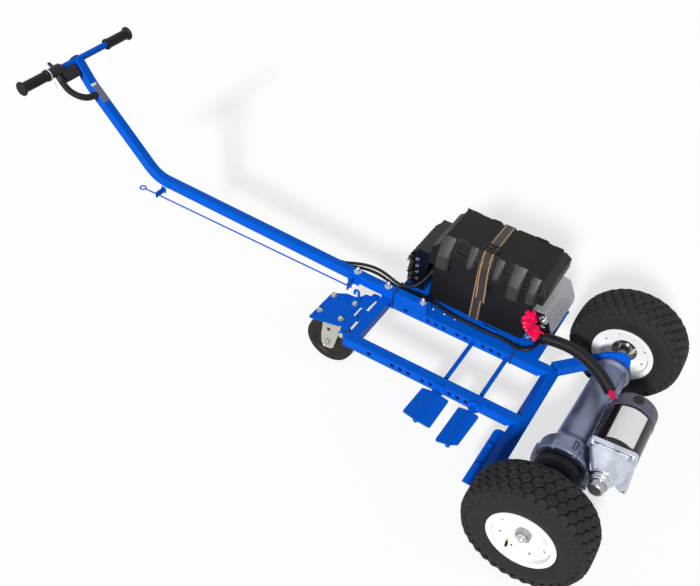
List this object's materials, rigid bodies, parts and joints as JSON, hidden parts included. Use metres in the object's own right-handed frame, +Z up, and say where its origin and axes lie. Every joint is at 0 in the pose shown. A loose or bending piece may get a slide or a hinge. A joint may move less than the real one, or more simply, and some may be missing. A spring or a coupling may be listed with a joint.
{
  "type": "aircraft tug",
  "caption": "Walk-behind electric tug that lifts and tows a light aircraft by its tail wheel, with a long handle, a folding rear caster and drive wheels in front.",
  "frame": {"origin": "on the ground, under the middle of the tug's length and of its track", "axes": "+X from the handle towards the drive wheels, +Y towards the battery side, +Z up"},
  "size_m": [2.5165, 1.051, 0.874],
  "materials": {
    "frame_blue": "semi-gloss",
    "black_metal": "satin",
    "white_metal": "gloss",
    "grey_metal": "satin",
    "cast_aluminium": "polished",
    "zinc": "zinc plated",
    "steel": "plain",
    "iron": "rough",
    "cast_grey": "as cast",
    "silver_grey": "satin",
    "cable_black": "matt",
    "tyre": "matt",
    "caster_rubber": "matt",
    "grip_rubber": "matt",
    "boot_rubber": "matt",
    "black_plastic": "matt",
    "webbing": "woven",
    "battery_case": "matt"
  },
  "bodies": {
    "frame": {"near_rail": "frame_blue", "far_rail": "frame_blue", "rear_cross_tube": "frame_blue", "front_cross_angle": "frame_blue", "near_step_plate": "frame_blue", "axle_housing": "cast_grey", "gear_case": "cast_grey", "brake_drum": "iron", "stub_housing": "cast_grey", "motor_can": "black_metal", "motor_end_cap": "grey_metal", "pinion_housing": "cast_aluminium", "nose_cap": "steel", "far_axle_bracket": "frame_blue", "near_axle_bracket": "frame_blue", "far_axle_arm": "frame_blue", "near_axle_arm": "frame_blue", "handle_tube": "frame_blue", "handle_crossbar": "frame_blue", "handle_bolts": "zinc", "near_grip": "grip_rubber", "far_grip": "grip_rubber", "throttle_clamp": "black_plastic", "throttle_housing": "black_plastic", "throttle_loom": "cable_black", "pull_rod": "frame_blue", "rod_guides": "frame_blue", "hinge_lugs": "frame_blue", "hinge_pin": "zinc", "battery_tray": "frame_blue", "battery_box": "black_plastic", "battery_lid": "black_plastic", "battery": "battery_case", "battery_strap": "webbing", "strap_buckle": "black_plastic", "motor_controller": "black_metal", "finned_box": "silver_grey", "terminal_plate": "black_plastic", "terminal_boots": "boot_rubber", "cable_glands": "grip_rubber", "control_cable": "cable_black", "trunk_cable": "cable_black", "motor_conduit": "cable_black", "cable_ties": "black_plastic"},
    "near_wheel": {"near_tyre": "tyre", "near_rim": "white_metal", "near_axle_shaft": "steel"},
    "far_wheel": {"far_tyre": "tyre", "far_rim": "white_metal", "far_axle_shaft": "steel"},
    "caster_fold": {"folding_plate": "frame_blue", "caster_top_plate": "zinc", "caster_bolts": "zinc"},
    "caster_swivel": {"caster_fork": "zinc", "caster_axle": "zinc"},
    "caster_roll": {"caster_wheel": "caster_rubber"},
    "rear_lift_finger": {"rear_finger": "frame_blue"},
    "front_lift_finger": {"front_finger": "frame_blue"}
  },
  "joints": [
    {"name": "near_wheel_spin", "type": "hinge", "parent": "frame", "child": "near_wheel", "pos_m": [1.043, -0.45, 0.2032], "axis": [0, 1, 0], "continuous": true},
    {"name": "far_wheel_spin", "type": "hinge", "parent": "frame", "child": "far_wheel", "pos_m": [1.043, 0.45, 0.2032], "axis": [0, 1, 0], "continuous": true},
    {"name": "caster_fold", "type": "hinge", "parent": "frame", "child": "caster_fold", "pos_m": [0.16452, 0, 0.24807], "axis": [0, 1, 0], "range_deg": [0, 93]},
    {"name": "caster_swivel", "type": "hinge", "parent": "caster_fold", "child": "caster_swivel", "pos_m": [0.08252, 0.012, 0.25], "axis": [0, 0, 1], "continuous": true},
    {"name": "caster_roll", "type": "hinge", "parent": "caster_swivel", "child": "caster_roll", "pos_m": [0.05452, 0.012, 0.1], "axis": [0, 1, 0], "continuous": true},
    {"name": "rear_finger_slide", "type": "slide", "parent": "frame", "child": "rear_lift_finger", "axis": [0, -1, 0], "range_m": [0, 0.2]},
    {"name": "front_finger_slide", "type": "slide", "parent": "frame", "child": "front_lift_finger", "axis": [0, -1, 0], "range_m": [0, 0.2]}
  ]
}
